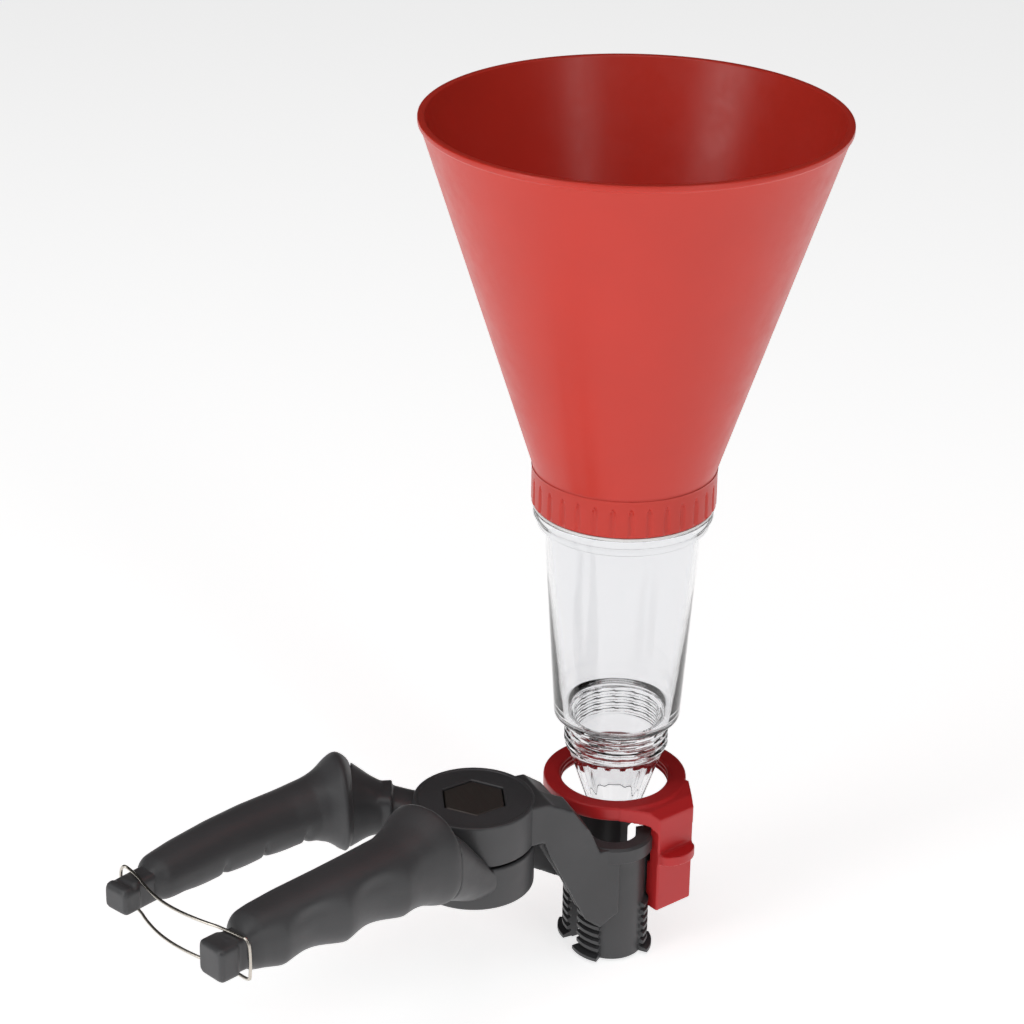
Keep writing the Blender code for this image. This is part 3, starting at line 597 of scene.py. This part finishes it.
def hexagon(angle):
    """Radius of a unit hexagon, cos 30 / cos(angle mod 60 - 30), turned by HEX_TURN."""
    return math.cos(np.pi / 6) / np.cos((angle - HEX_TURN) % (np.pi / 3) - np.pi / 6)


def hub_disc(name, low, high, recess):
    """Disc with rounded edges; its middle hole is a hexagon, r = flat / cos(a mod 60 - 30)."""
    if recess:
        hole = [(5.4, low), (5.4, 61.2), (11.95, 61.2), (11.95, high - 0.35), (12.35, high)]
    else:
        hole = [(10.2, low), (10.2, 43.4), (5.4, 43.4), (5.4, high)]
    edge = rounded([(19.0, high), (20.8, high), (20.8, low), (19.0, low)], 1.1, 6)
    edge = edge[(edge[:, 0] > 19.05)]
    profile = np.concatenate([hole, edge])

    def hexed(r, z, a):
        return np.where((r > 11.5) & (r < 12.6) & bool(recess), r * hexagon(a), r)

    return turned(name, profile, 192, PIVOT, hexed)


def half_jaw(name, side, sizes):
    """Half pipe r(angle, z): a plain wall, a wider band on top and ribs near the two edges."""
    pitch, count = sizes.rib_pitch, 7
    z = [0.0, 0.25, 0.6]
    for k in range(count):
        z += [k * pitch + 0.4, k * pitch + 0.55, k * pitch + 1.75, k * pitch + 1.95,
              k * pitch + 2.3, k * pitch + 2.9]
    z = np.unique(np.round(z + list(np.linspace(22.0, 38.6, 8)) + list(np.linspace(39.0, 40.6, 6))
                           + [44.8, 45.2, 45.6, 45.85, 46.0], 3))
    a = np.radians(np.concatenate([[0.2], np.linspace(1.0, 48.0, 18), [49.0, 50.0],
                                   np.linspace(54.0, 126.0, 24), [130.0, 131.0],
                                   np.linspace(132.0, 179.0, 18), [179.8]]))
    zz, aa = np.meshgrid(z, a)
    wall = 11.2 + 2.4 * smoothstep(38.8, 40.6, zz)
    wall = wall - 0.9 * smoothstep(45.0, 46.0, zz) ** 2 - 0.5 * smoothstep(0.5, 0.0, zz)
    tooth = (zz - 0.4) % pitch
    ridge = smoothstep(0.0, 0.15, tooth) * smoothstep(2.1, 1.3, tooth)
    ribbed = (smoothstep(50.0, 49.0, np.degrees(aa)) + smoothstep(130.0, 131.0, np.degrees(aa)))
    foot = 1.6 * (zz < 2.35)
    wall = wall + ribbed * (zz > 0.35) * (zz < count * pitch + 0.3) * (ridge * (1.7 + foot))
    inner = np.full((len(a), 1), 8.2)
    r = np.concatenate([wall, inner, inner], 1)
    h = np.concatenate([zz, np.full_like(inner, 46.0), np.zeros_like(inner)], 1)
    aa = np.broadcast_to(np.radians(np.degrees(aa[:, :1])), r.shape)
    x, y = JAW_X + r * np.cos(aa), side * r * np.sin(aa) + PIVOT[1]
    plan = about_pivot(np.column_stack([x.ravel(), y.ravel()]), side * OPEN)
    grid = np.column_stack([plan, h.ravel()]).reshape(*r.shape, 3)
    return skin(name, grid)


def stub_block(name, core, half_w, half_h, run, lip):
    """Block past a handle's end along its own direction, with an optional raised lip."""
    core = np.asarray(core)[:, :2]
    out = core[-1] - core[-2]
    out /= np.linalg.norm(out)
    start = core[-1] - out
    mid, tip = start + out * (run - 1.0), start + out * run
    parts = [swept(name, np.array([(*start, half_w, half_h), (*mid, half_w, half_h),
                                   (*tip, half_w - 0.9, half_h - 0.9)]), 48, 0.28)]
    if lip:
        a, b = start + out * (run - 3.2), start + out * (run - 0.7)

        def raised(u, v, back, q):
            return u, np.where(v < 0, 0.0, v)

        parts.append(swept("lip", np.array([(*a, half_w - 0.2, half_h + 0.8),
                                            (*b, half_w - 0.4, half_h + 0.7)]), 48, 0.3, raised))
    return parts


def build_upper_lever(sizes):
    """Far handle's bar, neck, sloping arm with a ribbed hollow, hub disc and near jaw."""
    nylon = material_named("Black Nylon")
    disc = hub_disc("upper_hub_disc", 53.0, 68.6, True)
    finish_piece(disc, nylon, "black_nylon", "upper_clamp", "upper_lever")
    neck = swept("neck", smooth_table([(8.0, 5.0, 11.5, 6.4), (17.0, 11.0, 7.8, 6.4),
                                       (25.0, 15.4, 7.5, 7.4), (31.0, 17.8, 9.2, 9.6),
                                       (37.0, 20.4, 12.4, 13.6)], 1.0, 2.0), 48, 0.7,
                 centre_z=smooth_table([(8.0, 60.4), (17.0, 60.6), (25.0, 62.0), (31.0, 63.2),
                                        (37.0, 63.5)], 1.0, 2.0)[:, 1])
    web = side_prism("web", [(-47, 68.3), (-29, 68.0), (-22, 63.0), (-22, 56.5), (-33, 53.2),
                             (-47, 53.2)], -14.0, 9.0)
    outline = [(-45, 68.2), (-29, 68.0), (-20, 64.0), (-13.5, 55.0), (-9.5, 45.7), (-2, 45.7),
               (-2, 20), (-9.0, 15.0), (-14.5, 19.5), (-29.5, 51.0), (-30.0, 53.3), (-45, 53.3)]
    arm = side_prism("arm", outline, -12.0, -1.2, -OPEN)
    arm = carved(arm, side_prism("pocket", [(-38, 32), (-29.5, 52.0), (-24.5, 52.0),
                                            (-12.5, 24.0), (-14.5, 7.0)], -10.6, -2.6, -OPEN))
    ribs = [side_prism("rib", [(-31, 50.5), (-25.5, 54.0), (-10, 28.0), (-14.0, 20.5)],
                       y, y + 0.9, -OPEN) for y in (-8.4, -5.8)]
    rail = leg_block("rail", -0.8, 7.5, 19.0, 24.3, 18.4, 45.8)
    root = leg_block("root", -5.0, 4.5, 19.2, 22.4, 19.0, 44.0)
    for part in (arm, rail, root):
        axis = about_pivot(np.array([[JAW_X, PIVOT[1]]]), -OPEN)[0]
        carved(part, turned("bore", [(0.01, -5), (JAW_BORE, -5), (JAW_BORE, 70), (0.01, 70)],
                            64, axis))
    core = swept("core", smooth_table(FAR_CORE, 2.0, 6.0), 48, 0.4)
    bars = [neck, web, arm, *ribs, rail, root, core,
            *stub_block("stub", FAR_CORE, 5.2, 4.4, 6.5, True)]
    frame_piece = blended("upper_lever_frame", bars, 0.55, 3)
    bore = turned("seat_room", [(0.01, 50), (16.0, 50), (16.0, 80), (0.01, 80)], 64, PIVOT)
    carved(frame_piece, bore)
    finish_piece(frame_piece, nylon, "black_nylon", "upper_clamp")
    jaw = half_jaw("near_jaw", -1, sizes)
    return finish_piece(jaw, nylon, "black_nylon", "upper_clamp", angle=30)


def build_lower_lever(sizes):
    """Near handle's bar and raised neck, lower disc, low arm and far jaw."""
    nylon = material_named("Black Nylon")
    disc = hub_disc("lower_hub_disc", 36.6, 52.0, False)
    finish_piece(disc, nylon, "black_nylon", "lower_clamp", "lower_lever")
    toward = np.array((-0.79, -0.613))
    run = np.array([(4.0, 15.0, 45.2, 6.4), (12.0, 16.4, 46.4, 7.8), (19.0, 14.8, 50.5, 11.2),
                    (25.0, 14.2, 56.0, 13.2), (32.6, 13.4, 61.5, 14.6)])
    run = smooth_table(run, 1.0, 4.0)
    neck = swept("neck", np.column_stack([-run[:, 0] * toward[0], run[:, 0] * toward[1],
                                          run[:, 1], run[:, 3]]), 48, 0.7,
                 centre_z=run[:, 2])
    room = turned("hub_room", [(0.01, 51.9), (21.5, 51.9), (21.5, 90), (0.01, 90)], 96, PIVOT)
    carved(neck, room)
    arm = side_prism("arm", [(-43, 49.0), (-30, 49.0), (-16, 45.4), (-2, 45.4), (-2, 26),
                             (-10, 22.0), (-34, 36.9), (-43, 36.9)], 1.2, 12.0, OPEN)
    axis = about_pivot(np.array([[JAW_X, PIVOT[1]]]), OPEN)[0]
    carved(arm, turned("bore", [(0.01, -5), (JAW_BORE, -5), (JAW_BORE, 70), (0.01, 70)], 64, axis))
    bars = [neck, arm, swept("core", smooth_table(NEAR_CORE, 2.0, 6.0), 48, 0.4),
            *stub_block("stub", NEAR_CORE, 5.8, 6.1, 7.5, False)]
    frame_piece = blended("lower_lever_frame", bars, 0.55, 3)
    carved(frame_piece, turned("seat_room", [(0.01, 20), (16.0, 20), (16.0, 60), (0.01, 60)],
                               64, PIVOT))
    finish_piece(frame_piece, nylon, "black_nylon", "lower_clamp")
    jaw = half_jaw("far_jaw", 1, sizes)
    return finish_piece(jaw, nylon, "black_nylon", "lower_clamp", angle=30)


def sleeve(name, stations, shape, under):
    """A grip: softened stations with a rounded tail, half sizes falling as a quarter circle."""
    table = smooth_table(stations, 0.7, 2.6)
    tail = (table[-1, 0] - table[:, 0]) / 5.0
    round_off = np.sqrt(1 - np.clip(1 - tail, 0, 1) ** 2 * 0.62)
    head = (table[:, 0] - table[0, 0]) / 1.6
    round_on = 1 - 0.10 * (1 - np.sqrt(1 - np.clip(1 - head, 0, 1) ** 2))
    table[:, 2] *= round_off * round_on
    table[:, 3] *= round_off * round_on
    return swept(name, table, 96, 0.86, shape, under=under)


def build_grips(sizes):
    """Near grip with scooped finger hollows, far grip with a scalloped, notched lower edge."""
    rubber = material_named("Grip Rubber")

    def hollows(u, v, back, q):
        depth = sum(h * np.cos(np.clip((back - c) / w, -1, 1) * np.pi / 2) ** 1.3
                    for c, w, h in ((37.0, 8.0, 0.5), (56.0, 11.5, 1.0), (79.0, 12.0, 1.0),
                                    (98.5, 9.0, 0.6)))
        away = np.abs((q - np.radians(200.0) + np.pi) % (2 * np.pi) - np.pi)
        facing = smoothstep(np.radians(78), np.radians(38), away)
        cut = sizes.finger_depth * depth * facing
        return u + cut * 1.15, v + cut * 0.35

    near = sleeve("near_grip_sleeve", NEAR_GRIP, hollows, 0.86)
    finish_piece(near, rubber, "grip_rubber", "lower_clamp", "near_grip", angle=60)

    def scalloped(u, v, back, q):
        wave = np.abs(np.sin((back - 41.3) * np.pi / 16.5)) ** 0.7
        fade = smoothstep(40.0, 46.0, back) * smoothstep(112.0, 104.0, back)
        away = np.abs((q - np.radians(262.0) + np.pi) % (2 * np.pi) - np.pi)
        under = smoothstep(np.radians(55), np.radians(12), away)
        notch = sum(np.exp(-((back - c) / 0.9) ** 2) for c in (41.3, 57.8, 74.4, 91.0))
        inward = smoothstep(np.radians(60), np.radians(25),
                            np.abs((q - np.radians(232.0) + np.pi) % (2 * np.pi) - np.pi))
        drop = fade * under * (1.5 * wave - 1.3)
        return u + fade * inward * notch * 1.8, v - drop + fade * inward * notch * 0.8

    far = sleeve("far_grip_sleeve", FAR_GRIP, scalloped, 0.80)
    return finish_piece(far, rubber, "grip_rubber", "upper_clamp", "far_grip", angle=60)


# --- pivot hardware and wire ----------------------------------------------------------------
def build_pivot():
    """Hexagonal head, r = flat / cos(a mod 60 - 30), with a chamfered top, over a round shank."""
    profile = [(0.01, 33.0), (4.6, 33.0), (5.0, 33.5), (5.0, 61.6), (11.35, 61.6), (11.35, 67.95),
               (10.9, 68.3), (0.01, 68.36)]

    def hexed(r, z, a):
        return np.where(r > 8.0, r * hexagon(a), r)

    bolt = turned("pivot_bolt_head", profile, 144, PIVOT, hexed)
    finish_piece(bolt, material_named("Dark Steel"), "dark_steel", "upper_clamp", "pivot_bolt")
    for node in ("pivot_nut", "nut_washer", "disc_washer", "torsion_spring"):
        coat_node(node, "Bright Steel")
    return coat_node("collar_gasket", "White Seal")


def coat_node(name, material):
    """A frame node kept as it is, with a finish in every material slot."""
    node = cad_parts[name]
    if not node.material_slots:
        node.data.materials.append(material_named(material))
    for slot in node.material_slots:
        slot.material = material_named(material)
    return node


def build_wire(sizes):
    """Round wire along a closed Catmull-Rom curve: two bowed runs joined round both stubs."""
    far, near, tilt, off = (120.6, -1.9), (104.4, -48.0), 0.40, 0.3 + sizes.wire
    f_up, f_low, f_side = HANDLE_Z + 5.4, HANDLE_Z - 5.4, 6.8
    n_up, n_low, n_side = HANDLE_Z + 6.4, HANDLE_Z - 6.4, -7.5
    (fx, fy), (nx, ny) = far, near
    t = np.arange(1, 12) / 12
    bow = 5.0 * np.sin(np.pi * t)
    run = np.column_stack([fx + (nx - fx) * t + bow, fy + (ny - fy) * t,
                           f_up + off + (n_up - f_up) * t])
    back = np.column_stack([nx + (fx - nx) * t + bow, ny + (fy - ny) * t,
                            n_low - off + (f_low - n_low) * t])
    knots = np.concatenate([
        [(fx + tilt * f_side, fy + f_side, f_up - 2.0),
         (fx + tilt * (f_side - 1.4), fy + f_side - 1.4, f_up + off),
         (fx + 1.0, fy + 3.0, f_up + off)], run,
        [(nx - 1.0, ny - 3.0, n_up + off),
         (nx + tilt * (n_side + 1.4), ny + n_side + 1.4, n_up + off),
         (nx + tilt * n_side, ny + n_side, n_up - 2.0),
         (nx + tilt * n_side, ny + n_side, n_low + 2.0),
         (nx + tilt * (n_side + 1.4), ny + n_side + 1.4, n_low - off),
         (nx + 1.0, ny + 3.0, n_low - off)], back,
        [(fx + 1.0, fy + 3.0, f_low - off),
         (fx + tilt * (f_side - 1.4), fy + f_side - 1.4, f_low - off),
         (fx + tilt * f_side, fy + f_side, f_low + 2.0)]])
    knots = np.column_stack([PIVOT[0] - knots[:, 0], PIVOT[1] + knots[:, 1], knots[:, 2]])
    path = catmull(knots, 6)
    tangent = np.roll(path, -1, 0) - np.roll(path, 1, 0)
    tangent /= np.linalg.norm(tangent, axis=1)[:, None]
    outward = np.array([[-1.0, 0.0, 0.0]]) + tangent * tangent[:, 0:1]
    outward /= np.linalg.norm(outward, axis=1)[:, None]
    other = np.cross(tangent, outward)
    q = np.linspace(0, 2 * np.pi, 14, endpoint=False)[None, :, None]
    grid = path[:, None] + sizes.wire * (np.cos(q) * outward[:, None] + np.sin(q) * other[:, None])
    wire = skin("wire_lock_loop", grid, wrap_rows=True)
    return finish_piece(wire, material_named("Bright Steel"), "bright_steel", "lock", "wire_lock")


def catmull(knots, steps):
    """Closed Catmull-Rom curve: cubics through the knots with slopes from their neighbours."""
    p0, p1, p2, p3 = (np.roll(knots, k, 0)[:, None] for k in (1, 0, -1, -2))
    t = (np.arange(steps) / steps)[None, :, None]
    curve = 0.5 * (2 * p1 + (p2 - p0) * t + (2 * p0 - 5 * p1 + 4 * p2 - p3) * t ** 2
                   + (3 * p1 - p0 - 3 * p2 + p3) * t ** 3)
    return curve.reshape(-1, 3)


# --- studio ---------------------------------------------------------------------------------
STUDIO_AIM = (0.0, 0.0, 0.17)
STUDIO_TURN = math.radians(-2.2)
CAMERA_PLACE = (-0.3938, -0.8293, 0.2890)      # metres from the middle of the rim
CAMERA_AHEAD = (0.35485, 0.83355, -0.42341)
CAMERA_RIGHT = (0.9201, -0.3917, 0.0)


def area_light(name, place, aim, size, power):
    light = bpy.data.lights.new(name, "AREA")
    light.shape = "RECTANGLE"
    light.size, light.size_y = size
    light.energy = power
    obj = bpy.data.objects.new(name, light)
    obj.location = place
    obj.rotation_euler = (Vector(aim) - Vector(place)).to_track_quat("-Z", "Y").to_euler()
    bpy.context.scene.collection.objects.link(obj)
    return obj


def build_stage(settings):
    """Pale floor, a soft overhead light, two tall side lights and the camera."""
    scene = bpy.context.scene
    side = np.linspace(-5000.0, 5000.0, 3)
    x, y = np.meshgrid(side, side)
    floor = skin("studio_floor", np.stack([x, y, np.full_like(x, -1.0)], -1), False, False)
    material, shader, _ = plain_material("Studio Floor")
    shader.inputs["Base Color"].default_value = (*settings.floor, 1.0)
    shader.inputs["Emission Color"].default_value = (1.0, 1.0, 1.0, 1.0)
    shader.inputs["Emission Strength"].default_value = 0.70
    shader.inputs["Roughness"].default_value = 0.9
    shader.inputs["Specular IOR Level"].default_value = 0.1
    floor.data.materials.append(material)
    world = bpy.data.worlds.new("Studio")
    world.use_nodes = True
    n = Nodes(world.node_tree)
    height = n.add("ShaderNodeSeparateXYZ",
                   {0: n.add("ShaderNodeTexCoord").outputs["Generated"]})
    glow = n.add("ShaderNodeMapRange", {"Value": height.outputs["Z"], "From Min": 0.05,
                                        "From Max": 0.75, "To Min": 0.12, "To Max": 0.72})
    background = world.node_tree.nodes["Background"]
    world.node_tree.links.new(glow.outputs["Result"], background.inputs["Strength"])
    scene.world = world
    area_light("overhead_softbox", (-0.2, -0.3, 1.5), STUDIO_AIM, (1.6, 1.6), 7.4)
    area_light("left_softbox", (-1.29, -0.15, 0.65), STUDIO_AIM, (0.50, 1.3), 5.5)
    area_light("right_softbox", (0.19, -1.26, 0.65), STUDIO_AIM, (0.20, 1.3), 2.8)
    data = bpy.data.cameras.new("camera")
    data.lens = settings.lens
    data.sensor_width = 36.0
    data.clip_end = 20.0
    camera = bpy.data.objects.new("camera", data)
    scene.collection.objects.link(camera)
    turn = Matrix.Rotation(STUDIO_TURN, 3, "Z")
    place = turn @ Vector(CAMERA_PLACE)
    place += Vector((FUNNEL[0] * MM, FUNNEL[1] * MM, RIM_Z * MM))
    ahead = (turn @ Vector(CAMERA_AHEAD)).normalized()
    right = (turn @ Vector(CAMERA_RIGHT)).normalized()
    up = right.cross(ahead)
    facing = Matrix((right, up, -ahead)).transposed().to_4x4()
    camera.matrix_world = (Matrix.Translation(place) @ facing
                           @ Matrix.Rotation(settings.roll, 4, "Z"))
    scene.camera = camera
    scene.view_settings.view_transform = "Standard"
    return camera


# --- operators and panel --------------------------------------------------------------------
class FUNNEL_OT_bowl(bpy.types.Operator):
    """Build the bowl with its beaded rim and grooved collar"""
    bl_idname = "funnel.bowl"
    bl_label = "Bowl"

    def execute(self, context):
        build_bowl(context.scene.funnel_bowl)
        return {"FINISHED"}


class FUNNEL_OT_tube(bpy.types.Operator):
    """Build the clear sight tube"""
    bl_idname = "funnel.tube"
    bl_label = "Sight Tube"

    def execute(self, context):
        build_tube(context.scene.funnel_bowl)
        return {"FINISHED"}


class FUNNEL_OT_bracket(bpy.types.Operator):
    """Build the threaded ring bracket and its leg"""
    bl_idname = "funnel.bracket"
    bl_label = "Ring Bracket"

    def execute(self, context):
        build_bracket(context.scene.funnel_clamp)
        return {"FINISHED"}


class FUNNEL_OT_levers(bpy.types.Operator):
    """Build the clamp's two levers with their discs and jaws"""
    bl_idname = "funnel.levers"
    bl_label = "Levers"

    def execute(self, context):
        build_upper_lever(context.scene.funnel_clamp)
        build_lower_lever(context.scene.funnel_clamp)
        return {"FINISHED"}


class FUNNEL_OT_grips(bpy.types.Operator):
    """Build the two soft grips"""
    bl_idname = "funnel.grips"
    bl_label = "Grips"

    def execute(self, context):
        build_grips(context.scene.funnel_clamp)
        return {"FINISHED"}


class FUNNEL_OT_pivot(bpy.types.Operator):
    """Build the pivot bolt's head and finish the nut, washers, spring and gasket"""
    bl_idname = "funnel.pivot"
    bl_label = "Pivot Hardware"

    def execute(self, context):
        build_pivot()
        return {"FINISHED"}


class FUNNEL_OT_wire(bpy.types.Operator):
    """Build the wire lock"""
    bl_idname = "funnel.wire"
    bl_label = "Wire Lock"

    def execute(self, context):
        build_wire(context.scene.funnel_clamp)
        return {"FINISHED"}


class FUNNEL_OT_stage(bpy.types.Operator):
    """Build the floor, lights and camera"""
    bl_idname = "funnel.stage"
    bl_label = "Studio"

    def execute(self, context):
        build_stage(context.scene.funnel_stage)
        return {"FINISHED"}


OPERATORS = (FUNNEL_OT_bowl, FUNNEL_OT_tube, FUNNEL_OT_bracket, FUNNEL_OT_levers,
             FUNNEL_OT_grips, FUNNEL_OT_pivot, FUNNEL_OT_wire, FUNNEL_OT_stage)


class FUNNEL_PT_panel(bpy.types.Panel):
    """Lists the funnel's pieces in build order"""
    bl_label = "Filling Funnel"
    bl_idname = "FUNNEL_PT_panel"
    bl_space_type = "VIEW_3D"
    bl_region_type = "UI"
    bl_category = "Funnel"

    def draw(self, context):
        for operator in OPERATORS:
            self.layout.operator(operator.bl_idname)


GROUPS = {"funnel_bowl": FunnelBowlSizes, "funnel_clamp": FunnelClampSizes,
          "funnel_colours": FunnelColours, "funnel_stage": FunnelStage}


def register():
    for cls in (*GROUPS.values(), *OPERATORS, FUNNEL_PT_panel):
        bpy.utils.register_class(cls)
    for name, cls in GROUPS.items():
        setattr(bpy.types.Scene, name, bpy.props.PointerProperty(type=cls))


def unregister():
    for name in GROUPS:
        delattr(bpy.types.Scene, name)
    for cls in reversed((*GROUPS.values(), *OPERATORS, FUNNEL_PT_panel)):
        bpy.utils.unregister_class(cls)


def main():
    register()
    bpy.ops.funnel.bowl()
    bpy.ops.funnel.tube()
    bpy.ops.funnel.bracket()
    bpy.ops.funnel.levers()
    bpy.ops.funnel.grips()
    bpy.ops.funnel.pivot()
    bpy.ops.funnel.wire()
    bpy.ops.funnel.stage()


if __name__ == "__main__":
    main()
